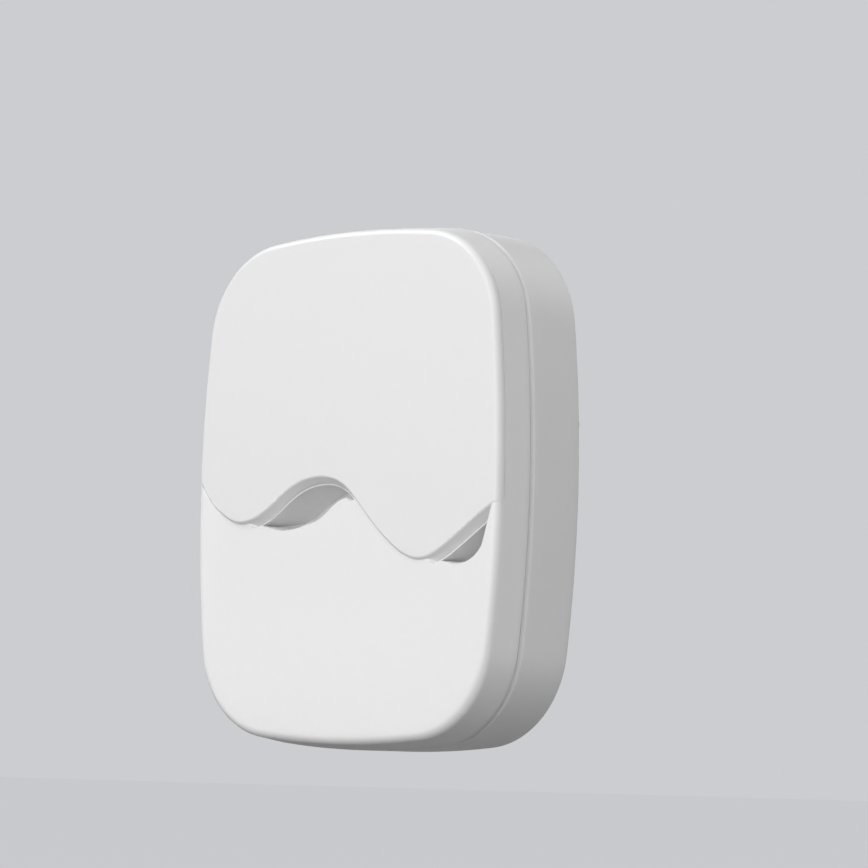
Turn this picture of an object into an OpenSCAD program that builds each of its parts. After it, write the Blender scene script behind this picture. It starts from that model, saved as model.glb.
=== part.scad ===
// Plug-in wireless range extender.
// Origin: where the plug's axis meets the rear face, which rests against the socket plate.
// +X is right and +Z is up as seen from the front; the front faces -Y and the pins point to +Y.
// "Forward" distances below are counted from the rear face towards the front.

/* [Casing] */
// Width across the bulged sides
body_w = 81; // [80:0.5:84]
// Height of the casing
body_h = 100; // [99:0.5:104]
// Depth from the rear face to the front
body_d = 22; // [21.5:0.25:24]
// Depth of the rear shell, up to the seam
rear_d = 13.75; // [13.5:0.05:14]
// Radius of the bulged sides
side_r = 264; // [200:1:400]
// Radius of the bulged top and bottom
top_r = 196; // [180:1:300]
// Radius of the outline's corners
corner_r = 20; // [18:0.5:22]
// Radius that rounds the front edge
edge_r = 1.6; // [1.2:0.1:1.8]
// How far the front shell narrows from the seam to the front edge
draft = 0.87; // [0.5:0.01:1]
// Thickness of the casing walls
wall = 2; // [1.8:0.1:2]

/* [Front] */
// Depth of the fascia's edge along the wave
leaf_d = 3.4; // [3:0.1:3.6]
// How far the lower panel is dished
dish = 1.5; // [1:0.1:1.8]
// Depth of the two scoops below the panel
scoop_d = 9.6; // [8.5:0.1:9.8]

/* [Plug] */
// Height of the plug's axis above the casing's middle
plug_rise = 16; // [16:0.5:17]
// Radius of the plug's boss
boss_r = 18.5; // [18.5:0.1:18.8]
// Length of the plug's boss
boss_len = 15; // [14.5:0.1:16]
// Radius of a plug pin
pin_r = 2.4; // [2:0.05:2.4]
// Length of a plug pin beyond the boss
pin_len = 19; // [18:0.1:19.5]
// Distance between the two pins
pin_gap = 19; // [18.8:0.1:19.2]

/* [Pair button] */
// Radius of the button
button_r = 3; // [2.5:0.1:3]
// How far the button travels when it is pressed
button_travel = 0.5; // [0.3:0.05:0.5]

/* [Hidden] */
$fn = 48;

mid_z = -plug_rise;             // height of the casing's middle
half_w = body_w / 2;
half_h = body_h / 2;
gap = 0.05;                     // fitting gap between pieces that touch
cut = 0.5;                      // how far a cutting solid runs past the face it cuts
seam_gap = 0.3;                 // open groove between the two shells
seam_bevel = 0.5;               // bevel on the rear shell's edge at the seam
tongue_w = 0.85;                // locating tongue of the rear shell
tongue_h = 1.6;
flange_inset = 2.6;             // inset of the fascia's inner part from the outline
leaf_skin = 2;                  // thickness of the fascia's face
leaf_rear = body_d - leaf_d;    // forward place of the fascia's inner edge
leaf_rim = body_d - edge_r;     // forward place where the fascia meets the casing's side
seat_skin = 2;                  // front shell's skin behind the fascia
rim_inset = draft + edge_r;     // from the outline to the flat of the front

// ---------------------------------------------------------------- casing outline
// The outline is a side arc, a corner arc and a top arc in each quarter, all tangent.
side_c = [half_w - side_r, 0];
top_c = [0, half_h - top_r];
centre_gap = norm(top_c - side_c);
along = (pow(side_r - corner_r, 2) - pow(top_r - corner_r, 2) + pow(centre_gap, 2)) / (2 * centre_gap);
across = sqrt(pow(side_r - corner_r, 2) - along * along);
to_top = (top_c - side_c) / centre_gap;
corner_c = side_c + to_top * along + [-to_top[1], to_top[0]] * across;
side_end = atan2(corner_c[1] - side_c[1], corner_c[0] - side_c[0]);
corner_end = atan2(corner_c[1] - top_c[1], corner_c[0] - top_c[0]);

function arc(c, r, a0, a1, n) =
    [for (i = [0:n - 1]) let (a = a0 + (a1 - a0) * i / n) c + r * [cos(a), sin(a)]];
function quarter(inset) = concat(
    arc(side_c, side_r - inset, 0, side_end, 5),
    arc(corner_c, corner_r - inset, side_end, corner_end, 12),
    arc(top_c, top_r - inset, corner_end, 90, 5)
);
function mirror_x(points) = [for (i = [len(points) - 1:-1:1]) [-points[i][0], points[i][1]]];
function mirror_z(points) = [for (i = [len(points) - 1:-1:1]) [points[i][0], -points[i][1]]];
function casing_points(inset) =
    let (q = concat(quarter(inset), [[0, half_h - inset]]), half = concat(q, mirror_x(q)))
    concat(half, mirror_z([for (p = half) if (p[1] > 0.001) p]));

module outline(inset = 0) translate([0, mid_z]) polygon(casing_points(inset));

// A sheet whose flat shape is drawn in X and Z, filling the depths from a to b forward of the rear face.
module slab(a, b) translate([0, -a, 0]) rotate([90, 0, 0]) linear_extrude(b - a) children();
module block(x, z, w, h, a, b) slab(a, b) translate([x, z]) square([w, h], center = true);
module disc(x, z, r, a, b) slab(a, b) translate([x, z]) circle(r);

// ---------------------------------------------------------------- wave across the front
// Each knot is [x, height above the casing's middle, slope]; the curve between knots is a cubic.
wave = [
    [-half_w - 1, 8.5, -3], [-37.4, 0, -1.35], [-32.4, -4.5, -0.6], [-27.5, -6.2, 0], [-17.5, -2, 0.74],
    [-6.3, 2.06, 0], [2.2, -1.3, -0.95], [10, -8.9, -0.83], [19.9, -13.95, 0], [30, -9.2, 0.64],
    [half_w + 1, -3, 0.15]
];
lip_left = [[-27.4, -6.2, -0.3], [-14.5, -7.9, 0], [-6.5, -5.4, 0.52], [3, -2.1, 0.2]];
lip_right = [[20, -13.95, -0.3], [28.5, -15.1, 0.02], [33.6, -13.1, 1.1], [37.2, -4.3, 3.2]];

function ease(u, z0, z1, s0, s1) =
    z0 * (1 + 2 * u) * pow(1 - u, 2) + s0 * u * pow(1 - u, 2)
    + z1 * u * u * (3 - 2 * u) - s1 * u * u * (1 - u);
function height(knots, x) =
    let (i = max([for (k = [0:len(knots) - 2]) x >= knots[k][0] ? k : 0]), p = knots[i], q = knots[i + 1],
         w = q[0] - p[0])
    ease((x - p[0]) / w, p[1], q[1], p[2] * w, q[2] * w);
wave_steps = 96;
function wave_points(drop) = [
    for (i = [0:wave_steps]) let (x = -half_w - 1 + (body_w + 2) * i / wave_steps) [x, height(wave, x) - drop]
];
module above_wave(drop = 0) translate([0, mid_z])
    polygon(concat(wave_points(drop), [[half_w + 1, half_h + 1], [-half_w - 1, half_h + 1]]));
module below_wave(drop = 0) translate([0, mid_z])
    polygon(concat(wave_points(drop), [[half_w + 1, -half_h - 1], [-half_w - 1, -half_h - 1]]));

// A scoop is the hollow between the wave and its lip. Its floor is round across, and shallow at both ends.
scoop_cols = 20;
scoop_rows = 8;
function scoop_depth(u, t, depth) = depth * pow(sin(180 * u), 0.45) * pow(1 - pow(abs(2 * t - 1), 2.5), 0.4);
function scoop_row(lip, j, depth, grow) = [
    for (i = [0:scoop_cols])
        let (u = (1 - cos(180 * i / scoop_cols)) / 2, t = (1 - cos(180 * j / scoop_rows)) / 2,
             x0 = lip[0][0], x1 = lip[len(lip) - 1][0], x = x0 + (x1 - x0) * u,
             top = height(wave, x) + grow, low = min(height(lip, x), height(wave, x) - 0.05) - grow)
        [x + grow * (2 * u - 1), scoop_depth(u, t, depth) + dish + grow, top + (low - top) * t + mid_z]
];
module scoop(lip, depth, grow = 0) {
    n = scoop_cols + 1;
    floor_points = [for (j = [0:scoop_rows]) for (p = scoop_row(lip, j, depth, grow))
        [p[0], p[1] - body_d, p[2]]];
    front_points = [for (p = floor_points) [p[0], -body_d - cut, p[2]]];
    m = len(floor_points);
    cells = [for (j = [0:scoop_rows - 1]) for (i = [0:scoop_cols - 1]) j * n + i];
    rim = concat([for (i = [0:scoop_cols]) i], [for (j = [1:scoop_rows]) j * n + scoop_cols],
        [for (i = [scoop_cols - 1:-1:0]) scoop_rows * n + i], [for (j = [scoop_rows - 1:-1:1]) j * n]);
    polyhedron(concat(floor_points, front_points), concat(
        [for (c = cells) each [[c, c + n, c + 1], [c + 1, c + n, c + n + 1]]],
        [for (c = cells) each [[c + m, c + 1 + m, c + n + m], [c + 1 + m, c + n + 1 + m, c + n + m]]],
        [for (k = [0:len(rim) - 1]) let (a = rim[k], b = rim[(k + 1) % len(rim)])
            each [[a, b, a + m], [b, b + m, a + m]]]
    ));
}
module scoops(grow = 0) {
    scoop(lip_left, scoop_d, grow);
    scoop(lip_right, scoop_d * 0.8, grow);
}

// ---------------------------------------------------------------- fastening places
case_posts = [for (x = [-30, 30], z = [-38, 38]) [x, z + mid_z]];
fascia_pegs = [for (x = [-24, 24], z = [14, 36]) [x, z + mid_z]];
power_posts = [for (x = [-21, 21], z = [-13, 22.5]) [x, z]];
main_posts = [[-22, -21], [22, -21], [20, -56]];
pin_places = [[-pin_gap / 2, 0], [pin_gap / 2, 0]];
screw_r = 1.1;
head_r = 2;
screw_hole_r = 1.3;

// ---------------------------------------------------------------- casing
module front_envelope() hull() {
    slab(rear_d + seam_gap, rear_d + seam_gap + 0.1) outline(0);
    for (a = [0:22.5:90])
        slab(leaf_rim + edge_r * sin(a) - 0.01, leaf_rim + edge_r * sin(a))
            outline(draft + edge_r * (1 - cos(a)));
}
module fascia_pegs_at(r, a, b) for (p = fascia_pegs) disc(p[0], p[1], r, a, b);

module front_fascia() color("whitesmoke") {
    difference() {
        intersection() {
            front_envelope();
            union() {
                slab(leaf_rim, body_d + cut) above_wave();
                slab(leaf_rear, leaf_rim + 0.01) intersection() {
                    outline(flange_inset);
                    above_wave();
                }
            }
        }
        slab(leaf_rear - cut, body_d - leaf_skin) intersection() {
            outline(flange_inset + 1.6);
            above_wave(-2.5);
        }
    }
    fascia_pegs_at(1.4, leaf_rear - seat_skin + 0.2, body_d - leaf_skin + 0.1);
}

module front_cavity() {
    slab(rear_d, leaf_rear - seat_skin) outline(wall + 1);
    slab(rear_d, rear_d + tongue_h + 0.2) outline(wall - tongue_w);
    slab(rear_d, body_d - dish - wall - 0.3) intersection() {
        outline(wall + 2);
        translate([0, mid_z - 36]) square([body_w, 34], center = true);
    }
}
// Closed pockets behind the panel that carry the scoops' floors past the seam.
module scoop_pockets() intersection() {
    scoops(1);
    slab(0, leaf_rear - seat_skin + 0.4) outline(wall + 0.3);
}
module panel_dish() intersection() {
    hull() {
        slab(body_d, body_d + cut) outline(rim_inset);
        slab(body_d - dish, body_d - dish + 0.01) outline(rim_inset + 14);
    }
    slab(body_d - dish - 1, body_d + 1) below_wave(gap);
}
module jack_opening() jack_block(-6, 6, jack_w + 0.4, jack_rear - 0.2, jack_rear + jack_t + 0.2);

module front_shell() color("white") difference() {
    union() {
        difference() {
            front_envelope();
            front_cavity();
        }
        scoop_pockets();
        for (p = case_posts) disc(p[0], p[1], 2.75, rear_d - 0.9, leaf_rear - seat_skin + 0.1);
    }
    slab(leaf_rim - gap, body_d + cut) above_wave(gap);
    slab(leaf_rear - gap, body_d + cut) intersection() {
        outline(flange_inset - gap);
        above_wave(gap);
    }
    panel_dish();
    scoops();
    for (p = case_posts) disc(p[0], p[1], screw_r + 0.02, rear_d - 2, leaf_rear - seat_skin - 0.6);
    fascia_pegs_at(1.4 + gap, leaf_rear - seat_skin - cut, leaf_rear + cut);
    disc(guide_x, guide_z, guide_r + gap, main_top, rear_d + 4);
    jack_opening();
}

// Round plug boss with the two side notches that the socket's guide ribs need.
module boss_shape(r, inset) difference() {
    circle(r, $fn = 96);
    for (side = [-1, 1]) translate([0, side * (boss_r + 1 - inset)])
        square([5.4 + 2 * inset, 8], center = true);
}
module vents() {
    for (i = [-4:4]) block(i * 4, mid_z + half_h, 1.8, 8, 4, 10);
    for (i = [-2:2]) block(0, -37 + i * 3.6, 26, 1.6, -cut, wall + cut);
}
module rear_shell() color("white") difference() {
    union() {
        difference() {
            union() {
                slab(0, rear_d - seam_bevel) outline(0);
                hull() {
                    slab(rear_d - seam_bevel - 0.01, rear_d - seam_bevel) outline(0);
                    slab(rear_d - 0.01, rear_d) outline(seam_bevel);
                }
                slab(rear_d - 0.1, rear_d + tongue_h) outline(wall - tongue_w + gap);
                slab(-boss_len, 0.1) boss_shape(boss_r, 0);
            }
            slab(wall, rear_d + tongue_h + cut) outline(wall);
            slab(boss_end_wall - boss_len, wall + cut) boss_shape(boss_r - 1.8, 1.8);
            vents();
        }
        for (p = case_posts) disc(p[0], p[1], 3.5, wall - 0.1, rear_d - 1);
        for (p = power_posts) disc(p[0], p[1], 2.2, wall - 0.1, power_f - gap);
        for (p = main_posts) disc(p[0], p[1], 2.2, wall - 0.1, main_f - gap);
    }
    for (p = case_posts) {
        disc(p[0], p[1], head_r + 0.3, -cut, 3);
        disc(p[0], p[1], screw_hole_r, 0, rear_d);
    }
    for (p = concat(power_posts, main_posts)) disc(p[0], p[1], 0.82, wall, main_f);
    for (p = pin_places) disc(p[0], p[1], collar_r + gap, -boss_len - cut, 0);
    translate([-half_w - 1, -button_f, button_z]) rotate([0, 90, 0]) cylinder(h = 8, r = button_r + 0.1);
    jack_opening();
}
boss_end_wall = 2.2;
collar_r = 3;

module case_screws() color("silver") for (p = case_posts) difference() {
    union() {
        disc(p[0], p[1], head_r, 1.4, 3);
        disc(p[0], p[1], screw_r, 2.9, leaf_rear - seat_skin - 1.2);
    }
    slab(1, 2.3) translate(p) circle(1.1, $fn = 6);
}

// ---------------------------------------------------------------- plug
carrier_t = 2;
pin_tip = 1.4;
module plug_pin() rotate([-90, 0, 0]) {
    translate([0, 0, boss_len - 0.01]) cylinder(h = pin_len - pin_tip + 0.01, r = pin_r);
    translate([0, 0, boss_len + pin_len - pin_tip])
        cylinder(h = pin_tip, r1 = pin_r, r2 = pin_r - pin_tip * 0.7);
    translate([0, 0, boss_len - boss_end_wall - carrier_t - 0.5])
        cylinder(h = boss_end_wall + carrier_t + 0.5, r = collar_r);
    translate([0, 0, -power_f - board_t - 0.8]) cylinder(h = boss_len - 2 + power_f, r = 1);
}
module plug_pins() color("silver") for (p = pin_places) translate([p[0], 0, p[1]]) plug_pin();

module pin_carrier() color("dimgray")
    slab(boss_end_wall - boss_len + gap, boss_end_wall - boss_len + carrier_t)
    difference() {
        boss_shape(boss_r - 1.8 - 0.1, 1.9);
        for (p = pin_places) translate(p) circle(collar_r + gap);
    }

// ---------------------------------------------------------------- power board
board_t = 1.6;
power_f = 3.2;                       // rear side of the power board
power_top = power_f + board_t + gap; // where its front parts stand
module power_board() color("darkgreen") slab(power_f, power_f + board_t) difference() {
    translate([-25, -18]) square([50, 44]);
    for (p = power_posts) translate(p) circle(screw_hole_r);
    for (p = pin_places) translate(p) circle(1.1);
}
module bulk_capacitors() color("black") for (z = [-8.8, 8.8]) disc(0, z, 4.6, -10, power_f - gap);

transformer_x = 10.5;
transformer_z = 12;
transformer_h = 10.4;
// Two E-shaped ferrite halves, drawn together: side legs, a centre leg and two yokes.
module transformer_core() color("dimgray") translate([transformer_x, 0, transformer_z]) {
    for (side = [-1, 1]) {
        block(side * 7.4, 0, 2.8, 5, power_top + 1, power_top + transformer_h);
        block(0, 0, 17.6, 5, power_top + (side + 1) / 2 * (transformer_h - 3.4) + 1,
            power_top + (side + 1) / 2 * (transformer_h - 3.4) + 3.4);
    }
    disc(0, 0, 2.4, power_top + 1, power_top + transformer_h);
}
module transformer_winding() color("gold") translate([transformer_x, 0, transformer_z]) difference() {
    union() {
        disc(0, 0, 5.8, power_top + 3.5, power_top + transformer_h - 2.5);
        for (side = [-1, 1]) block(0, side * 6.4, 14, 3.4, power_top, power_top + 3.4);
        for (side = [-1, 1]) block(0, side * 4, 8, 2.6, power_top, power_top + transformer_h - 2.5);
    }
    disc(0, 0, 2.4 + gap, power_top - 1, power_top + transformer_h);
    block(0, 0, 18, 5.2, power_top - 1, power_top + 3.45);
}
module output_capacitors() color("black") for (x = [7.5, 16]) disc(x, -6, 3.2, power_top, power_top + 8);
module x_capacitor() color("gold") block(-12.5, 20, 12, 6, power_top, power_top + 9);
module y_capacitor() color("steelblue") translate([-2.4, -power_top - 3.3, 20.5]) upright_disc(3.2, 3);
module upright_disc(r, t) rotate([0, 90, 0]) {
    cylinder(h = t - 1, r = r, center = true);
    cylinder(h = t, r = r - 0.5, center = true);
}
module input_choke() color("darkorange") {
    disc(-16, 10, 5, power_top, power_top + 1.4);
    disc(-16, 10, 5, power_top + 7.6, power_top + 9);
    disc(-16, 10, 4.2, power_top + 1.3, power_top + 7.7);
}
module varistor() color("royalblue") translate([-5.2, -power_top - 4.6, 11]) upright_disc(4.5, 3.4);
module fuse() color("silver") translate([-24, -power_top - 2, 1.5]) rotate([0, 90, 0]) {
    cylinder(h = 11, r = 1.6);
    for (x = [0, 8.4]) translate([0, 0, x]) cylinder(h = 2.6, r = 1.9);
}
module bridge_rectifier() color("black") block(-15, -6, 8, 6.4, power_top, power_top + 2.5);
module power_controller() color("black") block(-3.5, -5.5, 5, 4, power_top, power_top + 1.6);

// ---------------------------------------------------------------- main board
main_t = 1.2;
main_f = 7.4;                      // rear side of the main board
main_top = main_f + main_t + gap;  // where its front parts stand
main_w = 52;
main_h = 46;
main_z = mid_z + 2 - main_h / 2;
module board_connector() color("black") block(0, -16.2, 12, 2.4, power_top, main_f - gap);
module insulation_sheet() color("ivory") slab(5.7, 6.1) difference() {
    translate([-19, -25]) square([38, 9.8]);
    translate([0, -16.2]) square([12.6, 3], center = true);
}
module main_board() color("darkgreen") slab(main_f, main_f + main_t) difference() {
    translate([0, main_z]) square([main_w, main_h], center = true);
    translate([-main_w / 2 - 1, jack_z - jack_w / 2 - 0.3])
        square([jack_face_x + jack_len + 0.3 + main_w / 2 + 1, jack_w + 0.6]);
    for (p = main_posts) translate(p) circle(screw_hole_r);
}
processor_x = 8;
processor_z = -45.5;
module processor() color("black") block(processor_x, processor_z, 13, 13, main_top, main_top + 1.2);
module thermal_pad() color("lightblue")
    block(processor_x, processor_z, 12, 12, main_top + 1.2 + gap, main_top + 1.8);
module heat_sink() color("silver") {
    block(processor_x, processor_z, 26, 20, main_top + 1.8 + gap, main_top + 3.2);
    for (i = [-4:4]) block(processor_x + i * 3, processor_z, 1, 20, main_top + 3.1, main_top + 7);
}
module memory_chips() color("black") {
    block(-11.4, -40, 8, 5, main_top, main_top + 1);
    block(15, -27, 8, 5, main_top, main_top + 1);
}
// Two thin metal cans over the radios, open on the board's side.
module radio_shield(x, z, w, h) difference() {
    block(x, z, w, h, main_top, main_top + 2);
    block(x, z, w - 0.5, h - 0.5, main_top - 1, main_top + 1.75);
}
module radio_shields() color("silver") {
    radio_shield(-10.4, -29.6, 14.6, 8.4);
    radio_shield(4, -29.6, 11, 8.4);
}
module crystal() color("silver") block(-8, -35.7, 3.2, 2.5, main_top, main_top + 0.8);

// ---------------------------------------------------------------- antennas
antenna_x = 34;
antenna_f = 8;
plug_x = 22;
plug_z = -16.6;
cable_r = 0.55;
module antennas() color("olive") for (side = [-1, 1])
    translate([side * antenna_x - 0.4, -antenna_f - 8, -6]) cube([0.8, 10, 22]);
module antenna_cable() translate([0, -main_top - 1.5, plug_z]) {
    translate([antenna_x - 1, 0, 0]) cylinder(h = 10.5, r = cable_r);
    translate([antenna_x - 1, 0, 0]) sphere(cable_r + 0.1);
    translate([plug_x + 1.25, 0, 0]) rotate([0, 90, 0]) cylinder(h = antenna_x - plug_x - 2.25, r = cable_r);
}
module antenna_cables() color("dimgray") {
    antenna_cable();
    mirror([1, 0, 0]) antenna_cable();
}
module antenna_plugs() color("gold") for (side = [-1, 1])
    disc(side * plug_x, plug_z, 1.2, main_top, main_top + 2.1);

// ---------------------------------------------------------------- status light
guide_r = 1;
guide_x = -5;
guide_z = mid_z - 2.6;
led_t = 0.7;
module status_led() color("lightyellow") block(guide_x, guide_z, 1.6, 1.2, main_top, main_top + led_t);
module light_guide() color("lightcyan") disc(guide_x, guide_z, guide_r, main_top + led_t + 0.1, 12.2);

// ---------------------------------------------------------------- ethernet jack, open to the left
jack_z = -41;
jack_w = 16;
jack_t = 13.2;
jack_rear = 3.2;
jack_face_x = -half_w + 2.3;
jack_len = 20;
port_w = 12;
port_t = 8.4;
port_len = 15;
port_f = jack_rear + 2;
contact_gap = 1.02;
// A block on the jack's axis, between two distances behind the jack's face.
module jack_block(from, to, w, a, b) block(jack_face_x + (from + to) / 2, jack_z, to - from, w, a, b);
module jack_housing() color("black") difference() {
    jack_block(0.2, jack_len - 0.2, jack_w - 0.6, jack_rear + 0.3, jack_rear + jack_t - 0.3);
    jack_block(-2, port_len, port_w, port_f, port_f + port_t);
    jack_block(-2, port_len, 6, port_f + port_t - 1, port_f + port_t + 1.6);
}
module jack_shield() color("silver") difference() {
    jack_block(0, jack_len, jack_w, jack_rear, jack_rear + jack_t);
    jack_block(0.15, jack_len - 0.15, jack_w - 0.5, jack_rear + 0.25, jack_rear + jack_t - 0.25);
    jack_block(-2, 2, 13, port_f - 0.4, port_f + port_t + 1.7);
}
module jack_contacts() color("gold") for (i = [0:7])
    translate([0, 0, (i - 3.5) * contact_gap])
        jack_block(port_len - 11, port_len - gap, 0.4, port_f + gap, port_f + 0.5);
module jack_magnetics() color("black") block(-11.4, -50.5, 12, 8.4, main_top, main_top + 3.4);

// ---------------------------------------------------------------- pair button on the left side
button_f = 5.6;
button_z = -27;
button_face_x = -half_w + 0.5;
switch_x = -main_w / 2;
plunger_out = button_travel + 0.7;
module pair_button() color("whitesmoke") translate([button_face_x, -button_f, button_z]) rotate([0, 90, 0]) {
    cylinder(h = 3, r = button_r);
    translate([0, 0, 2.2]) cylinder(h = 0.8, r = button_r + 0.5);
    cylinder(h = switch_x - plunger_out - gap - button_face_x, r = 1.3);
}
module switch_body() color("dimgray") difference() {
    block(switch_x + 2.5, button_z, 5, 6, main_f - 3.6, main_f - gap);
    translate([switch_x - 1, -button_f - 0.85, button_z - 1.25]) cube([button_travel + 3.1, 1.7, 2.5]);
}
module switch_plunger() color("black")
    translate([switch_x - plunger_out, -button_f - 0.8, button_z - 1.2]) cube([plunger_out + 1.8, 1.6, 2.4]);

module board_screw(p, f) {
    disc(p[0], p[1], 1.8, f, f + 1.2);
    disc(p[0], p[1], 0.8, power_f - 1, f + 0.1);
}
module board_screws() color("silver") {
    for (p = power_posts) board_screw(p, power_top);
    for (p = main_posts) board_screw(p, main_top);
}

front_fascia();
front_shell();
rear_shell();
case_screws();
plug_pins();
pin_carrier();
power_board();
bulk_capacitors();
transformer_core();
transformer_winding();
output_capacitors();
x_capacitor();
y_capacitor();
input_choke();
varistor();
fuse();
bridge_rectifier();
power_controller();
board_connector();
insulation_sheet();
main_board();
processor();
thermal_pad();
heat_sink();
memory_chips();
radio_shields();
crystal();
antennas();
antenna_cables();
antenna_plugs();
status_led();
light_guide();
jack_housing();
jack_shield();
jack_contacts();
jack_magnetics();
pair_button();
switch_body();
switch_plunger();
board_screws();
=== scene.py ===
"""Plug-in wireless range extender, in the frame of its CAD model.

Lengths are millimetres until a mesh is made; +Z is up and the front faces -Y.
"Forward" is the distance in front of the rear face, "depth" the distance behind the front plane.
"""
import math

import bmesh
import bpy
import numpy as np
from mathutils import Matrix, Vector


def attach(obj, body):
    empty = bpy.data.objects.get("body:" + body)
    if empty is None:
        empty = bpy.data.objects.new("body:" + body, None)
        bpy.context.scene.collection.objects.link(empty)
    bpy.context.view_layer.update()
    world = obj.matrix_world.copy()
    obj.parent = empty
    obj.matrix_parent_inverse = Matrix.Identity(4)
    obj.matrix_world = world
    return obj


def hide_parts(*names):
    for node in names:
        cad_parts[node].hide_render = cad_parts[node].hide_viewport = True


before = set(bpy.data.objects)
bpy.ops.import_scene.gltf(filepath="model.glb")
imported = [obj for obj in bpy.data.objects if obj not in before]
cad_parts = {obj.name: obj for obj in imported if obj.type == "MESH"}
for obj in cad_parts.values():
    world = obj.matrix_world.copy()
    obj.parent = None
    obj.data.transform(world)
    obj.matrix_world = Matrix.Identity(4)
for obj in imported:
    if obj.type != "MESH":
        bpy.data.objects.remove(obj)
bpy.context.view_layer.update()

# ---------------------------------------------------------------- driving sizes
MM = 0.001
MID_Z = -16.0            # height of the casing's middle; the origin is on the plug's axis
HALF_W, HALF_H = 40.46, 50.0
SIDE_R, TOP_R, CORNER_R = 264.0, 196.0, 20.0
FRONT = 22.0             # forward place of the front plane
SEAM = 13.75             # forward place of the seam
GROOVE = 0.55            # width of the open groove at the seam
DRAFT = 0.87             # the front shell narrows by this much up to its edge rounding
EDGE_R = 1.6
RIM = DRAFT + EDGE_R     # from the outline to the flat of the front
RIM_START = FRONT - EDGE_R
WALL = 2.0
LEAF_D = 1.95            # depth of the fascia's edge along the wave
LEAF_SPREAD = 1.25       # how far that edge leans outwards over its depth
LEAF_BEVEL = 0.25        # rounding of the fascia's front edge along the wave
BACK_R = 0.7             # rounding of the rear shell's back edge
BOSS_R, BOSS_LEN = 18.5, 15.0
NOTCH_HALF, NOTCH_D = 2.7, 3.0   # guide notches above and below the boss
PIN_R, PIN_LEN, PIN_GAP = 2.4, 19.0, 19.0
PIN_TIP = 0.9            # length of a pin's rounded end
COLLAR_R = 3.0           # each pin's collar in the boss
JACK_Z, JACK_HALF = -41.0, 8.2
JACK_REAR, JACK_FRONT = 3.0, 16.6
BUTTON_FORWARD, BUTTON_Z, BUTTON_HOLE_R = 5.6, -27.0, 3.1
CASE_SCREWS = [(x, MID_Z + z) for x in (-30, 30) for z in (-38, 38)]
SCREW_HOLE_R, SCREW_HOLE_D = 2.3, 3.2
BACK_VENT_Z, BACK_VENT_STEP, BACK_VENT_LEN, BACK_VENT_W = -37.0, 3.6, 26.0, 1.6
TOP_VENT_STEP, TOP_VENT_HALF = 4.0, 0.9
TOP_VENT_REAR, TOP_VENT_FRONT = 4.0, 10.0
FINE = 1.0


# ---------------------------------------------------------------- curves
def hermite(knots, x):
    """Smooth curve through knots [x, value, slope]."""
    k = np.array(knots, float)
    x = np.asarray(x, float)
    i = np.clip(np.searchsorted(k[:, 0], x) - 1, 0, len(k) - 2)
    w = k[i + 1, 0] - k[i, 0]
    u = np.clip((x - k[i, 0]) / w, 0, 1)
    start = k[i, 1] * (1 + 2 * u) * (1 - u) ** 2 + k[i, 2] * w * u * (1 - u) ** 2
    end = k[i + 1, 1] * u * u * (3 - 2 * u) - k[i + 1, 2] * w * u * u * (1 - u)
    return start + end


def smooth(x):
    x = np.clip(x, 0, 1)
    return x * x * (3 - 2 * x)


# The wave between fascia and lower panel: [x, height above the casing's middle, slope].
WAVE = [
    [-41.5, 8.5, -3.0], [-37.4, 0.0, -1.35], [-32.4, -4.5, -0.6], [-27.5, -6.2, 0.0], [-17.5, -2.0, 0.74],
    [-6.3, 2.06, 0.0], [2.2, -1.3, -0.95], [10.0, -8.9, -0.83], [19.9, -13.95, 0.0], [30.0, -9.2, 0.64],
    [41.5, -3.0, 0.15],
]
# Width of the scoops, square to the wave: [x, width, slope].
SCOOP = [
    [-41.0, 0.0, 0.0], [-26.0, 0.0, 0.1], [-22.0, 2.4, 0.9], [-17.5, 6.6, 0.65], [-12.0, 8.5, 0.1],
    [-6.3, 8.0, -0.4], [-2.0, 5.4, -0.9], [1.2, 2.0, -1.1], [3.2, 0.0, -0.1], [21.0, 0.0, 0.0],
    [24.5, 1.9, 0.75], [27.0, 3.9, 0.5], [30.2, 5.1, 0.1], [33.2, 5.0, -0.3], [36.0, 3.2, -0.9],
    [38.0, 1.0, -0.9], [41.0, 0.0, 0.0],
]
# Depth of the lower panel's dish from the left rim to the right rim: [x, depth, slope].
DISH_HALF = 38.0
DISH = [
    [-38.0, 0.0, 0.2], [-35.0, 0.4, 0.08], [-23.0, 0.75, 0.01], [-8.0, 0.75, 0.0], [10.0, 0.6, -0.01],
    [38.0, 0.0, -0.04],
]
DISH_END, DISH_FADE = 47.3, 30.0     # how far below the middle it ends, and over what height it fades


def outline_arcs():
    """Centres and end angles of the side, corner and top arcs in the upper right quarter."""
    side = np.array([HALF_W - SIDE_R, 0.0])
    top = np.array([0.0, HALF_H - TOP_R])
    reach_side, reach_top = SIDE_R - CORNER_R, TOP_R - CORNER_R
    span = np.linalg.norm(top - side)
    along = (reach_side**2 - reach_top**2 + span**2) / (2 * span)
    across = math.sqrt(reach_side**2 - along**2)
    e = (top - side) / span
    corner = side + e * along + np.array([-e[1], e[0]]) * across
    side_end = math.atan2(*(corner - side)[::-1])
    corner_end = math.atan2(*(corner - top)[::-1])
    return side, top, corner, side_end, corner_end


ARCS = outline_arcs()


def quarter(inset, step):
    side, top, corner, a1, a2 = ARCS
    parts = []
    arcs = ((side, SIDE_R, 0, a1), (corner, CORNER_R, a1, a2), (top, TOP_R, a2, math.pi / 2))
    for centre, r, start, end in arcs:
        count = max(2, int(r * (end - start) / step))
        a = start + (end - start) * np.arange(count) / count
        parts.append(centre + (r - inset) * np.stack([np.cos(a), np.sin(a)], 1))
    return np.concatenate(parts)


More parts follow.
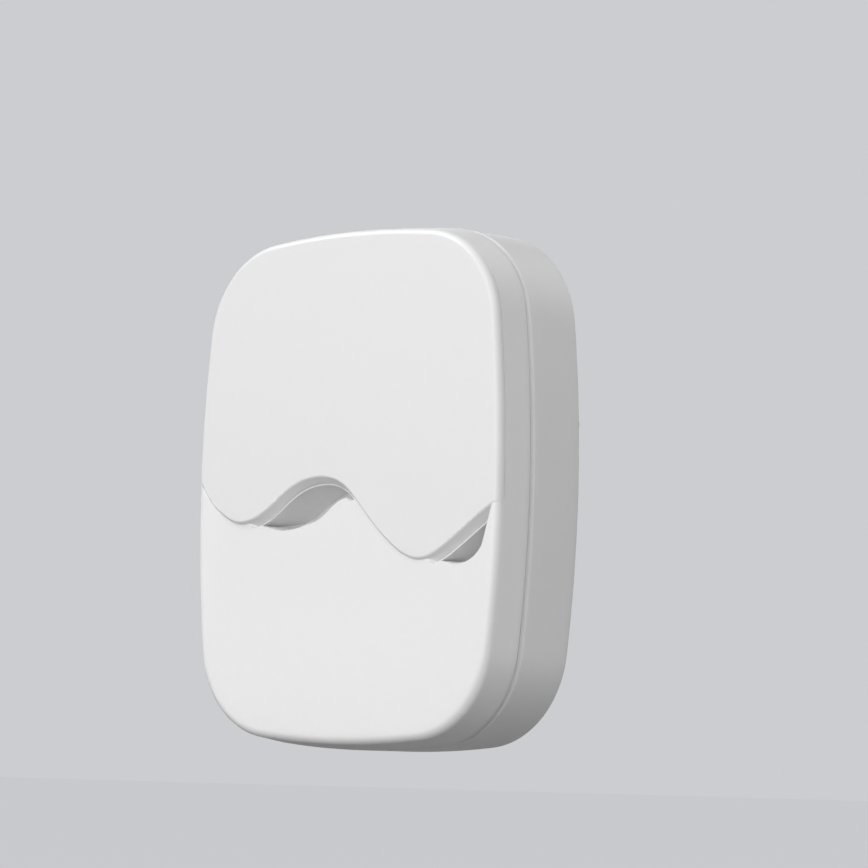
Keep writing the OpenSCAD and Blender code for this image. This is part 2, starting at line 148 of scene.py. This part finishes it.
def outline(inset, step=0.6):
    """Points round the casing, anticlockwise from the right; the same points at every inset."""
    q = quarter(inset, step / FINE)
    up = np.concatenate([q, [[0, HALF_H - inset]], (q * [-1, 1])[::-1]])
    return np.concatenate([up, (up * [1, -1])[::-1][1:-1]])


def wave(x):
    return hermite(WAVE, x)


def resample(points, count, ends=0.0):
    """count points evenly along a line; ends over 0 packs them towards both ends."""
    d = np.concatenate([[0], np.cumsum(np.linalg.norm(np.diff(points, axis=0), axis=1))])
    u = np.linspace(0, 1, count)
    u = (1 - ends) * u + ends * (1 - np.cos(math.pi * u)) / 2
    return np.stack([np.interp(u * d[-1], d, points[:, i]) for i in (0, 1)], 1)


def normals(line):
    """Unit normals of a line that runs from right to left, pointing down to the panel's side."""
    t = np.gradient(line, axis=0)
    t /= np.linalg.norm(t, axis=1)[:, None]
    return np.stack([-t[:, 1], t[:, 0]], 1)


def wave_part(inset, spread, count):
    """The wave from its right tip to its left tip, moved down by spread, within the inset outline."""
    x = np.linspace(41.4, -41.4, 3000)
    line = np.stack([x, wave(x)], 1)
    line = line + normals(line) * spread
    beyond = np.hypot(np.abs(line[:, 0]) + SIDE_R - HALF_W, line[:, 1]) - (SIDE_R - inset)
    inside = np.flatnonzero(beyond < 0)
    ends = []
    for i, j in ((inside[0], inside[0] - 1), (inside[-1], inside[-1] + 1)):
        u = beyond[i] / (beyond[i] - beyond[j])
        ends.append(line[i] + (line[j] - line[i]) * u)
    return resample(np.concatenate([ends[:1], line[inside], ends[1:]]), count, 0.25)


def outline_part(inset, spread, lower, count):
    """The outline from the wave's right tip to its left tip, through the bottom or over the top."""
    line = wave_part(inset, spread, 3)
    right, left = line[0], line[-1]
    ring = outline(inset, 0.2)
    turn = np.arctan2(ring[:, 1], ring[:, 0])
    start, end = math.atan2(right[1], right[0]), math.pi - math.atan2(left[1], -left[0])
    if lower:
        end -= 2 * math.pi
        turn = np.where(turn > start, turn - 2 * math.pi, turn)
    else:
        turn = np.where(turn < start, turn + 2 * math.pi, turn)
    low, high = min(start, end) + 0.003, max(start, end) - 0.003
    keep = (turn > low) & (turn < high)
    order = np.argsort(-turn[keep] if lower else turn[keep])
    return resample(np.concatenate([[right], ring[keep][order], [left]]), count)


# ---------------------------------------------------------------- mesh helpers
def at(points, forward):
    """Points drawn in X and Z, relative to the casing's middle, placed at a forward distance."""
    forward = np.broadcast_to(forward, len(points))
    return np.stack([points[:, 0], -forward, points[:, 1] + MID_Z], 1)


class Surface:
    """Collects rows of points and the faces between them."""

    def __init__(self):
        self.points = []
        self.faces = []

    def row(self, points):
        start = sum(len(p) for p in self.points)
        self.points.append(np.asarray(points, float))
        return list(range(start, start + len(points)))

    def strip(self, a, b, closed=False):
        n = len(a)
        for i in range(n if closed else n - 1):
            j = (i + 1) % n
            self.faces.append((a[i], a[j], b[j], b[i]))

    def loft(self, rows, closed=False):
        ids = [self.row(r) for r in rows]
        for a, b in zip(ids, ids[1:]):
            self.strip(a, b, closed)
        return ids

    def cap(self, ids):
        self.faces.append(tuple(ids))

    def build(self, name, material, sharp=35, merge=0.002):
        mesh = bpy.data.meshes.new(name)
        points = np.concatenate(self.points) * MM
        mesh.from_pydata(points.tolist(), [], self.faces)
        bm = bmesh.new()
        bm.from_mesh(mesh)
        bmesh.ops.remove_doubles(bm, verts=bm.verts, dist=merge * MM)
        bmesh.ops.recalc_face_normals(bm, faces=bm.faces)
        finish_mesh(bm, mesh, sharp)
        return add_object(name, mesh, material)


def finish_mesh(bm, mesh, sharp):
    """Smooth shading, with edges sharper than an angle left hard."""
    limit = math.radians(sharp)
    for face in bm.faces:
        face.smooth = True
    for edge in bm.edges:
        if len(edge.link_faces) == 2:
            edge.smooth = edge.calc_face_angle(0) < limit
    bm.to_mesh(mesh)
    bm.free()


def add_object(name, mesh, material, body="casing"):
    obj = bpy.data.objects.new(name, mesh)
    bpy.context.scene.collection.objects.link(obj)
    if material:
        obj.data.materials.clear()
        obj.data.materials.append(material)
    if body:
        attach(obj, body)
    return obj


def rounding(inset, forward, radius, steps=5):
    """Insets and forward places of a rounding from the side to a flat face further forward."""
    a = np.linspace(0, math.pi / 2, steps + 1)
    return [(inset + radius * (1 - math.cos(t)), forward + radius * math.sin(t)) for t in a]


# ---------------------------------------------------------------- materials
def new_material(name, colour, roughness, metallic=0.0, vary=0.04):
    """A material whose colour and roughness both vary a little with a fine noise."""
    mat = bpy.data.materials.new(name)
    mat.use_nodes = True
    tree = mat.node_tree
    shader = tree.nodes["Principled BSDF"]
    shader.inputs["Metallic"].default_value = metallic
    coords = tree.nodes.new("ShaderNodeTexCoord")
    noise = tree.nodes.new("ShaderNodeTexNoise")
    noise.inputs["Scale"].default_value = 900
    noise.inputs["Detail"].default_value = 3
    tree.links.new(coords.outputs["Object"], noise.inputs["Vector"])
    mix = tree.nodes.new("ShaderNodeMix")
    mix.data_type = "RGBA"
    mix.inputs["A"].default_value = (*[c * (1 - vary) for c in colour], 1)
    mix.inputs["B"].default_value = (*[min(1, c * (1 + vary)) for c in colour], 1)
    tree.links.new(noise.outputs["Fac"], mix.inputs["Factor"])
    tree.links.new(mix.outputs["Result"], shader.inputs["Base Color"])
    spread = tree.nodes.new("ShaderNodeMapRange")
    spread.inputs["To Min"].default_value = max(0.02, roughness - 0.07)
    spread.inputs["To Max"].default_value = min(1, roughness + 0.07)
    tree.links.new(noise.outputs["Fac"], spread.inputs["Value"])
    tree.links.new(spread.outputs["Result"], shader.inputs["Roughness"])
    return mat, tree, shader, coords


def grain(tree, shader, coords, scale, height, detail=2):
    """Fine relief, such as the texture of a mould."""
    noise = tree.nodes.new("ShaderNodeTexNoise")
    noise.inputs["Scale"].default_value = scale
    noise.inputs["Detail"].default_value = detail
    tree.links.new(coords.outputs["Object"], noise.inputs["Vector"])
    bump = tree.nodes.new("ShaderNodeBump")
    bump.inputs["Distance"].default_value = height * MM
    bump.inputs["Strength"].default_value = 0.5
    tree.links.new(noise.outputs["Fac"], bump.inputs["Height"])
    tree.links.new(bump.outputs["Normal"], shader.inputs["Normal"])


def plastic(name, colour, roughness, texture=0.012, scale=2600, vary=0.04):
    mat, tree, shader, coords = new_material(name, colour, roughness, vary=vary)
    shader.inputs["Specular IOR Level"].default_value = 0.5
    grain(tree, shader, coords, scale, texture)
    return mat


def metal(name, colour, roughness, along=None):
    """Bare metal; along stretches the grain into brush lines on one axis."""
    mat, tree, shader, coords = new_material(name, colour, roughness, 1.0)
    stretch = tree.nodes.new("ShaderNodeMapping")
    stretch.inputs["Scale"].default_value = along or (1, 1, 1)
    noise = tree.nodes.new("ShaderNodeTexNoise")
    noise.inputs["Scale"].default_value = 1500
    bump = tree.nodes.new("ShaderNodeBump")
    bump.inputs["Distance"].default_value = 0.006 * MM
    tree.links.new(coords.outputs["Object"], stretch.inputs["Vector"])
    tree.links.new(stretch.outputs["Vector"], noise.inputs["Vector"])
    tree.links.new(noise.outputs["Fac"], bump.inputs["Height"])
    tree.links.new(bump.outputs["Normal"], shader.inputs["Normal"])
    return mat


def circuit_board(name):
    """Green solder mask with copper tracks showing through as a paler pattern."""
    mat, tree, shader, coords = new_material(name, (0.012, 0.09, 0.035), 0.35)
    bricks = tree.nodes.new("ShaderNodeTexBrick")
    bricks.inputs["Scale"].default_value = 420
    bricks.inputs["Mortar Size"].default_value = 0.05
    bricks.inputs["Color1"].default_value = (0.012, 0.1, 0.04, 1)
    bricks.inputs["Color2"].default_value = (0.016, 0.13, 0.05, 1)
    bricks.inputs["Mortar"].default_value = (0.05, 0.22, 0.09, 1)
    turn = tree.nodes.new("ShaderNodeMapping")
    turn.inputs["Rotation"].default_value = (math.pi / 2, 0, 0)
    tree.links.new(coords.outputs["Object"], turn.inputs["Vector"])
    tree.links.new(turn.outputs["Vector"], bricks.inputs["Vector"])
    tree.links.new(bricks.outputs["Color"], shader.inputs["Base Color"])
    return mat


def clear(name, colour):
    mat, tree, shader, coords = new_material(name, colour, 0.15)
    shader.inputs["Transmission Weight"].default_value = 0.8
    return mat


# painted light: the casing's white (0.83) is set a little lighter than the fascia's (0.80), though both are
# the same white plastic, so that the lower panel renders brighter than the fascia.
WHITE_WITH_PAINTED_LIGHT = plastic("white_casing", (0.83, 0.83, 0.83), 0.45, vary=0.012)
LEAF = plastic("white_fascia", (0.80, 0.80, 0.80), 0.42, 0.008, 3200, vary=0.01)
BUTTON = plastic("button_plastic", (0.74, 0.74, 0.75), 0.45)
BLACK = plastic("black_plastic", (0.025, 0.025, 0.028), 0.5)
FERRITE = plastic("ferrite", (0.06, 0.06, 0.065), 0.7, 0.03, 1400)
TAPE = plastic("winding_tape", (0.78, 0.52, 0.08), 0.35, 0.02, 900)
BLUE = plastic("dipped_blue", (0.05, 0.16, 0.5), 0.3, 0.02, 700)
PAD = plastic("silicone_pad", (0.32, 0.45, 0.62), 0.8, 0.03, 1200)
FILM = plastic("insulating_film", (0.78, 0.72, 0.52), 0.5)
NICKEL = metal("nickel_pins", (0.74, 0.71, 0.64), 0.22, (1, 0.05, 1))
STEEL = metal("zinc_screws", (0.55, 0.55, 0.57), 0.35)
TIN = metal("tinned_sheet", (0.70, 0.71, 0.72), 0.3, (1, 1, 0.1))
ALUMINIUM = metal("aluminium", (0.70, 0.71, 0.73), 0.4, (1, 1, 0.05))
GOLD = metal("gold_contacts", (0.95, 0.68, 0.28), 0.25)
COPPER = metal("copper_wire", (0.75, 0.33, 0.14), 0.35, (1, 0.02, 1))
BOARD = circuit_board("circuit_board")
CLEAR = clear("clear_plastic", (0.85, 0.93, 0.96))

NODE_MATERIALS = {
    STEEL: ["case_screws", "board_screws", "fuse"],
    BLACK: ["pin_carrier", "bulk_capacitors", "output_capacitors", "bridge_rectifier",
            "power_controller", "board_connector", "processor", "memory_chips", "antenna_cables",
            "jack_housing", "jack_magnetics", "switch_body", "switch_plunger"],
    FERRITE: ["transformer_core"],
    TAPE: ["transformer_winding", "x_capacitor"],
    BLUE: ["varistor", "y_capacitor"],
    COPPER: ["input_choke"],
    BOARD: ["power_board", "main_board", "antennas"],
    FILM: ["insulation_sheet"],
    PAD: ["thermal_pad"],
    ALUMINIUM: ["heat_sink"],
    TIN: ["radio_shields", "crystal", "jack_shield"],
    GOLD: ["antenna_plugs", "jack_contacts"],
    CLEAR: ["status_led", "light_guide"],
    BUTTON: ["pair_button"],
}
ROUNDED = {"pair_button": 0.25, "case_screws": 0.2, "jack_shield": 0.06}


def finish_cad_pieces():
    """The inner pieces stay as the CAD model has them, with a finish each and soft edges where they show."""
    for mat, names in NODE_MATERIALS.items():
        for name in names:
            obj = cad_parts[name]
            obj.data.materials.clear()
            obj.data.materials.append(mat)
    for name, radius in ROUNDED.items():
        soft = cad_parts[name].modifiers.new("soft_edges", "BEVEL")
        soft.width = radius * MM
        soft.segments = 3
        soft.limit_method = "ANGLE"


# ---------------------------------------------------------------- lower panel
TIP_COUNT = int(420 * FINE)      # points along the wave, and along the outline from tip to tip
WALL_LEAN = 0.04         # how far a scoop's wall leans out, per unit of its depth behind the ledge
SCOOP_D = 11.0           # depth of a very wide scoop below the panel
SCOOP_GAIN = 2.0         # width at which a scoop has about two thirds of that depth
LEDGE = 0.2              # width of the ledge between the fascia's edge and the wall
TUCK = 0.6               # how far the panel runs on under the fascia at a scoop
SINK = 0.4               # how far its edge sinks behind the fascia's elsewhere
WALL_ROWS, FLOOR_ROWS, PANEL_ROWS = int(20 * FINE) + 2, int(50 * FINE), int(70 * FINE)


def dish_depth(points):
    """Depth of the lower panel's shallow dish: deepest below the wave, none at the bottom."""
    ring = outline(RIM, 0.3)
    right = ring[ring[:, 0] > 1]
    right = right[np.argsort(right[:, 1])]
    half = np.interp(points[:, 1], right[:, 1], right[:, 0])
    across = points[:, 0] * DISH_HALF / np.maximum(half, 1)
    return hermite(DISH, across) * smooth((points[:, 1] + DISH_END) / DISH_FADE)


def panel_rows():
    """Rows of points from the foot of the fascia's edge across the panel to its rim.

    Each column starts square to the wave, and ends square to the outline.
    """
    start = wave_part(RIM, 0, TIP_COUNT)
    end = outline_part(RIM, 0, True, TIP_COUNT)
    down = normals(start)
    out = line_normals(end)
    reach = np.linalg.norm(end - start, axis=1)
    width = np.maximum(hermite(SCOOP, start[:, 0]), 0)
    foot = np.maximum(dish_depth(start), 0.02) + SCOOP_D * (1 - np.exp(-((width / SCOOP_GAIN) ** 1.5)))
    ledge = np.minimum(foot, LEAF_D)
    lip = LEAF_SPREAD * ledge / LEAF_D + 0.02
    foot_reach = lip + LEDGE + 0.05 + WALL_LEAN * (foot - ledge)
    edge = np.maximum(width + 0.2, foot_reach + 0.2)
    fit = np.minimum(1, 0.6 * reach / edge)
    lip, foot_reach, edge = lip * fit, foot_reach * fit, edge * fit

    def column(run):
        """Points a distance along each column."""
        t = np.clip(run / np.maximum(reach, 1e-6), 0, 1)[:, None]
        length = reach[:, None]
        return (
            start * (1 + 2 * t) * (1 - t) ** 2 + end * t * t * (3 - 2 * t)
            + down * length * t * (1 - t) ** 2 - out * length * t * t * (1 - t)
        )

    rows = []
    under = smooth((foot - LEAF_D) / 0.4)
    hidden = column(lip) - down * (TUCK * under)[:, None]
    rows.append(at(hidden, FRONT - ledge - 0.02 - SINK * (1 - under)))
    for aside, lower in ((0, 0.03), (0.04, 0), (LEDGE, 0)):
        rows.append(at(column(lip + aside * fit), FRONT - ledge - lower))
    lip = lip + LEDGE * fit
    for u in np.linspace(0, 1, WALL_ROWS)[1:]:
        rows.append(at(column(lip + (foot_reach - lip) * u), FRONT - ledge - (foot - ledge) * u))
    rise = foot - dish_depth(column(foot_reach))
    for u in np.sin(np.linspace(0, math.pi / 2, FLOOR_ROWS))[1:]:
        run = foot_reach + (edge - foot_reach) * u
        rows.append(at(column(run), FRONT - dish_depth(column(run)) - rise * (1 - u**5) ** 1.4))
    for u in np.linspace(0, 1, PANEL_ROWS)[1:]:
        run = edge + (reach - edge) * u**1.2
        rows.append(at(column(run), FRONT - dish_depth(column(run)) * (u < 1)))
    return rows


def line_normals(line):
    """Outward normals of part of the outline."""
    n = normals(line)
    return n * np.sign((n * line).sum(1))[:, None]


def jack_slot(ring, forward, edge):
    """Forward places of a ring's points, held at the jack opening's edge inside the opening."""
    across = (np.abs(ring[:, 1] + MID_Z - JACK_Z) < JACK_HALF) & (ring[:, 0] < 0)
    held = np.maximum(forward, edge) if edge > SEAM else np.minimum(forward, edge)
    return np.where(across, held, forward)


def make_front_shell():
    """Lower panel, rim, side band and the edge at the seam, as one piece."""
    shell = Surface()
    rows = panel_rows()
    for inset, forward in rounding(DRAFT, RIM_START, EDGE_R)[::-1][1:]:
        rows.append(at(outline_part(inset, 0, True, TIP_COUNT), forward))
    shell.loft(rows)
    upper = outline_part(DRAFT, 0, False, int(520 * FINE))
    lower = outline_part(DRAFT, 0, True, TIP_COUNT)
    ring = np.concatenate([lower, upper[::-1][1:-1]])
    outward = ring_normals(ring)
    back = SEAM + GROOVE
    taper = DRAFT / (RIM_START - back)
    levels = [((RIM_START - f) * taper, f) for f in np.linspace(RIM_START, back + 0.2, 9)]
    levels += [(DRAFT - 0.04, back + 0.08), (DRAFT - 0.15, back)]
    levels += [(DRAFT - 1.4, back), (DRAFT - 1.9, back + 2)]
    shell.loft([at(ring + outward * out, jack_slot(ring, f, JACK_FRONT)) for out, f in levels], closed=True)
    # the step under the fascia's outer edge
    step = np.concatenate([[ring[TIP_COUNT - 1]], ring[TIP_COUNT:], [ring[0]]])
    away = line_normals(step)
    shell.loft([at(step - away * d, RIM_START - 0.02 * min(d, 1)) for d in (0, 0.06, 3.2)])
    obj = shell.build("front_shell_shape", WHITE_WITH_PAINTED_LIGHT, sharp=40)
    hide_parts("front_shell")


def ring_normals(ring):
    """Outward unit normals of a closed ring round the casing."""
    t = np.roll(ring, -1, axis=0) - np.roll(ring, 1, axis=0)
    n = np.stack([t[:, 1], -t[:, 0]], 1)
    n /= np.linalg.norm(n, axis=1)[:, None]
    outward = np.sign((n * ring).sum(1))
    return n * outward[:, None]


# ---------------------------------------------------------------- fascia
def make_fascia():
    """Upper layer: flat face, rounded outer edge, and a leaning edge along the wave."""
    leaf = Surface()
    count = int(520 * FINE)

    def ring(inset, spread, forward):
        """Closed loop: the wave from right to left, then the outline over the top back to the right."""
        over = outline_part(inset, spread, False, count)[::-1]
        return at(np.concatenate([wave_part(inset, spread, TIP_COUNT), over[1:-1]]), forward)

    def lean(forward):
        """How far the edge along the wave stands out: a small rounding, then a slant."""
        depth = FRONT - forward
        round_off = LEAF_BEVEL * (1 - math.sqrt(max(0, 1 - max(0, 1 - depth / LEAF_BEVEL) ** 2)))
        return LEAF_SPREAD * depth / LEAF_D - round_off

    levels = [(RIM + 1.2, lean(FRONT) - 1.0, FRONT), (RIM + 0.3, lean(FRONT) - 0.2, FRONT)]
    for inset, forward in rounding(DRAFT + 0.02, RIM_START + 0.08, EDGE_R, 12)[::-1]:
        forward = min(FRONT, forward)
        levels.append((inset, lean(forward), forward))
    base = FRONT - LEAF_D
    levels.append((DRAFT + 0.1, lean(RIM_START), RIM_START + 0.03))
    levels.append((DRAFT + 2.6, lean(RIM_START), RIM_START + 0.03))
    levels += [(DRAFT + 2.7, lean(f), f) for f in np.linspace(RIM_START - 0.2, base + 0.12, 4)]
    levels += [(DRAFT + 2.8, LEAF_SPREAD, base), (DRAFT + 4, LEAF_SPREAD - 1.5, base)]
    ids = leaf.loft([ring(*level) for level in levels], closed=True)
    leaf.cap(ids[0])
    leaf.cap(ids[-1][::-1])
    obj = leaf.build("front_fascia_shape", LEAF, sharp=50, merge=0.0005)
    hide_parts("front_fascia")


# ---------------------------------------------------------------- rear shell
def stadium(x, z, length, width, steps=8):
    """Closed loop of a slot with round ends, centred at x and z."""
    r, straight = width / 2, (length - width) / 2
    a = np.linspace(-math.pi / 2, math.pi / 2, steps + 1)
    right = np.stack([straight + r * np.cos(a), r * np.sin(a)], 1)
    loop = np.concatenate([right, -right])
    return loop + [x, z]


def circle(x, z, r, steps=48):
    a = np.linspace(0, 2 * math.pi, steps, endpoint=False)
    return np.stack([x + r * np.cos(a), z + r * np.sin(a)], 1)


def add_prism(cutters, loop, near, far):
    """A closed bar with a given section in X and Z between two forward places."""
    ids = cutters.loft([at(loop - [0, MID_Z], f) for f in (near, far)], closed=True)
    cutters.cap(ids[0][::-1])
    cutters.cap(ids[1])


def rear_cutters():
    """Everything that is cut out of the rear shell, as one mesh."""
    cutters = Surface()
    for x, z in CASE_SCREWS:
        add_prism(cutters, circle(x, z, SCREW_HOLE_R), -1, SCREW_HOLE_D)
    for i in range(-2, 3):
        slot = stadium(0, BACK_VENT_Z + BACK_VENT_STEP * i, BACK_VENT_LEN, BACK_VENT_W)
        add_prism(cutters, slot, -1, WALL + 0.6)
    slot = np.array([[-TOP_VENT_HALF, -4], [TOP_VENT_HALF, -4], [TOP_VENT_HALF, 4], [-TOP_VENT_HALF, 4]])
    for i in range(-4, 5):
        add_prism(cutters, slot + [TOP_VENT_STEP * i, MID_Z + HALF_H], TOP_VENT_REAR, TOP_VENT_FRONT)
    ring = circle(BUTTON_FORWARD, BUTTON_Z, BUTTON_HOLE_R)
    ends = [np.stack([np.full(len(ring), x), -ring[:, 0], ring[:, 1]], 1) for x in (-43, -35)]
    ids = cutters.loft(ends, closed=True)
    cutters.cap(ids[0])
    cutters.cap(ids[1][::-1])
    return cutters.build("cutters", None, sharp=180)


def carve(obj, cutters, sharp):
    """Cuts one closed mesh out of another and shades the result."""
    cut = obj.modifiers.new("cut", "BOOLEAN")
    cut.operation, cut.solver, cut.object = "DIFFERENCE", "EXACT", cutters
    graph = bpy.context.evaluated_depsgraph_get()
    mesh = bpy.data.meshes.new_from_object(obj.evaluated_get(graph))
    obj.modifiers.clear()
    bm = bmesh.new()
    bm.from_mesh(mesh)
    finish_mesh(bm, mesh, sharp)
    obj.data = mesh
    bpy.data.objects.remove(cutters)


def make_rear_shell():
    """Straight side wall, bevelled at the seam and rounded at the back, and the rear face."""
    shell = Surface()
    levels = [(WALL, SEAM + 1.5), (WALL - 0.6, SEAM + 1.5), (WALL - 0.6, SEAM - 0.05), (0.5, SEAM)]
    levels += [(0.05, SEAM - 0.5), (0, SEAM - 0.6)]
    levels += [(0, f) for f in np.linspace(SEAM - 1.2, 0.8, 7)]
    turn = np.linspace(0, math.pi / 2, 6)[1:]
    levels += [(BACK_R * (1 - math.cos(a)), BACK_R * (1 - math.sin(a))) for a in turn]
    levels += [(1.4, 0), (2.5, 0)]

    def ring(inset, forward):
        return at(outline(inset), jack_slot(outline(0), forward, JACK_REAR))

    ids = shell.loft([ring(*level) for level in levels], closed=True)
    shell.cap(ids[-1])
    inner = shell.loft([ring(WALL, f) for f in (SEAM + 1.5, WALL)], closed=True)
    shell.cap(inner[-1][::-1])
    obj = shell.build("rear_shell_shape", WHITE_WITH_PAINTED_LIGHT, sharp=40)
    carve(obj, rear_cutters(), 40)
    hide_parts("rear_shell")
    boss = make_boss()
    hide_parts("rear_shell")


def boss_loop(inset):
    """Section of the plug's boss: a circle with a guide notch above and below."""
    r, half, depth = BOSS_R - inset, NOTCH_HALF + inset, BOSS_R - NOTCH_D - inset
    edge = math.asin(half / r)
    a = np.linspace(-math.pi / 2 + edge, math.pi / 2 - edge, 60)
    right = np.stack([r * np.cos(a), r * np.sin(a)], 1)
    right = np.concatenate([[[half, -depth]], right, [[half, depth]]])
    return np.concatenate([right, -right])


def make_boss():
    boss = Surface()
    root = [(-0.6 * (1 - math.sin(a)), -0.6 * (1 - math.cos(a))) for a in np.linspace(0, math.pi / 2, 5)]
    end = [(0.8 * (1 - math.cos(a)), 0.8 * (math.sin(a) - 1)) for a in np.linspace(0, math.pi / 2, 6)]
    levels = [(-0.6, 0.5)] + root + [(inset, -BOSS_LEN - f) for inset, f in end]
    levels += [(1.3, -BOSS_LEN)]
    ids = boss.loft([at(boss_loop(inset) - [0, MID_Z], f) for inset, f in levels], closed=True)
    boss.cap(ids[0])
    boss.cap(ids[-1])
    return boss.build("plug_boss_shape", WHITE_WITH_PAINTED_LIGHT, sharp=40)


def make_pins():
    """Two turned pins with rounded ends, each with its collar in the boss."""
    tip = [(PIN_R * math.cos(a), PIN_TIP * math.sin(a)) for a in np.linspace(0, math.pi / 2, 8)[:-1]]
    profile = [(COLLAR_R, BOSS_LEN - 4), (COLLAR_R, BOSS_LEN)]
    profile += [(COLLAR_R - 0.1, BOSS_LEN + 0.02), (PIN_R, BOSS_LEN + 0.02)]
    profile += [(PIN_R, y) for y in (BOSS_LEN + 0.3, BOSS_LEN + 9, BOSS_LEN + PIN_LEN - PIN_TIP - 0.05)]
    profile += [(r, BOSS_LEN + PIN_LEN - PIN_TIP + y) for r, y in tip]
    pins = Surface()
    for side in (-1, 1):
        rows = [at(circle(side * PIN_GAP / 2, -MID_Z, r), -y) for r, y in profile]
        ids = pins.loft(rows, closed=True)
        pins.cap(ids[0])
        pins.cap(ids[-1])
    obj = pins.build("plug_pins_shape", NICKEL, sharp=40)
    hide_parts("plug_pins")


# ---------------------------------------------------------------- camera, light and floor
def aim(obj, target, back, roll=0.0):
    """Points an object's -Z axis at a target from a direction, turned about its own axis."""
    right = Vector((-back.y, back.x, 0)).normalized()
    up = back.cross(right)
    c, s = math.cos(roll), math.sin(roll)
    axes = Matrix((right * c + up * s, up * c - right * s, back)).transposed()
    obj.matrix_world = Matrix.Translation(target) @ axes.to_4x4()


def direction(azimuth, elevation):
    a, e = math.radians(azimuth), math.radians(elevation)
    return Vector((math.sin(a) * math.cos(e), -math.cos(a) * math.cos(e), math.sin(e)))


CAMERA_AZIMUTH, CAMERA_ELEVATION, CAMERA_LEAN = 42.5, -4.09, 1.58
CAMERA_DISTANCE, CAMERA_LENS = 0.7329, 156.1
CAMERA_SHIFT = (0.01544, 0.0698)


def make_camera():
    """Seen from the right and from slightly below, with a slight lean."""
    data = bpy.data.cameras.new("camera")
    data.sensor_width = 36
    data.lens = CAMERA_LENS
    data.shift_x, data.shift_y = CAMERA_SHIFT
    data.clip_start, data.clip_end = 0.05, 20
    camera = bpy.data.objects.new("camera", data)
    bpy.context.scene.collection.objects.link(camera)
    back = direction(CAMERA_AZIMUTH, CAMERA_ELEVATION)
    place = Vector((0, 0, MID_Z * MM)) + back * CAMERA_DISTANCE
    aim(camera, place, back, math.radians(CAMERA_LEAN))
    bpy.context.scene.camera = camera


FLOOR_HALF, FLOOR_Z = 40.0, -0.2     # metres
WORLD_LIGHT = 0.05
# name, azimuth, elevation, distance, size, power
LIGHTS = [
    ("key", 35, 22, 1.1, (0.5, 0.5), 1.9),
    ("right", 60, 30, 1.1, (0.5, 0.5), 2.6),
    ("side", 115, 2, 1.1, (0.6, 0.3), 0.5),
    ("front", 0, 10, 1.1, (0.6, 0.6), 5.8),
    ("top_left", -50, 50, 1.1, (0.6, 0.6), 7.2),
    ("low_back", 125, -13, 0.6, (0.25, 0.1), 0.3),
    ("back", 165, 35, 1.2, (0.8, 0.8), 3.5),
    ("back_left", -140, 10, 1.3, (0.9, 0.9), 3.5),
]


def area_light(name, azimuth, elevation, distance, size, power):
    data = bpy.data.lights.new(name, "AREA")
    data.shape = "RECTANGLE"
    data.size, data.size_y = size
    data.energy = power
    light = bpy.data.objects.new(name, data)
    bpy.context.scene.collection.objects.link(light)
    back = direction(azimuth, elevation)
    aim(light, Vector((0, 0, MID_Z * MM)) + back * distance, back)


def make_surroundings():
    """Even grey surroundings, a large pale floor well below, and soft lights."""
    world = bpy.data.worlds.new("studio")
    bpy.context.scene.world = world
    world.use_nodes = True
    tree = world.node_tree
    lit = tree.nodes["Background"]
    lit.inputs["Color"].default_value = (1, 1, 1, 1)
    lit.inputs["Strength"].default_value = WORLD_LIGHT
    seen = tree.nodes.new("ShaderNodeBackground")
    seen.inputs["Color"].default_value = (0.60, 0.61, 0.63, 1)
    path = tree.nodes.new("ShaderNodeLightPath")
    mix = tree.nodes.new("ShaderNodeMixShader")
    tree.links.new(path.outputs["Is Camera Ray"], mix.inputs[0])
    tree.links.new(lit.outputs["Background"], mix.inputs[1])
    tree.links.new(seen.outputs["Background"], mix.inputs[2])
    tree.links.new(mix.outputs["Shader"], tree.nodes["World Output"].inputs["Surface"])
    for light in LIGHTS:
        area_light(*light)
    floor = bpy.data.meshes.new("floor")
    corners = [(x * FLOOR_HALF, y * FLOOR_HALF, FLOOR_Z) for x, y in ((-1, -1), (1, -1), (1, 1), (-1, 1))]
    floor.from_pydata(corners, [], [(0, 1, 2, 3)])
    add_object("floor", floor, pale_floor(), body=None)


def pale_floor():
    """Matt floor that the camera sees as pale, and that throws little light up at the casing."""
    mat, tree, shader, coords = new_material("floor", (0.22, 0.22, 0.22), 0.8)
    path = tree.nodes.new("ShaderNodeLightPath")
    shader.inputs["Emission Color"].default_value = (0.56, 0.57, 0.59, 1)
    tree.links.new(path.outputs["Is Camera Ray"], shader.inputs["Emission Strength"])
    return mat


finish_cad_pieces()
make_front_shell()
make_fascia()
make_rear_shell()
make_pins()
make_camera()
make_surroundings()
bpy.context.scene.view_settings.view_transform = "Standard"
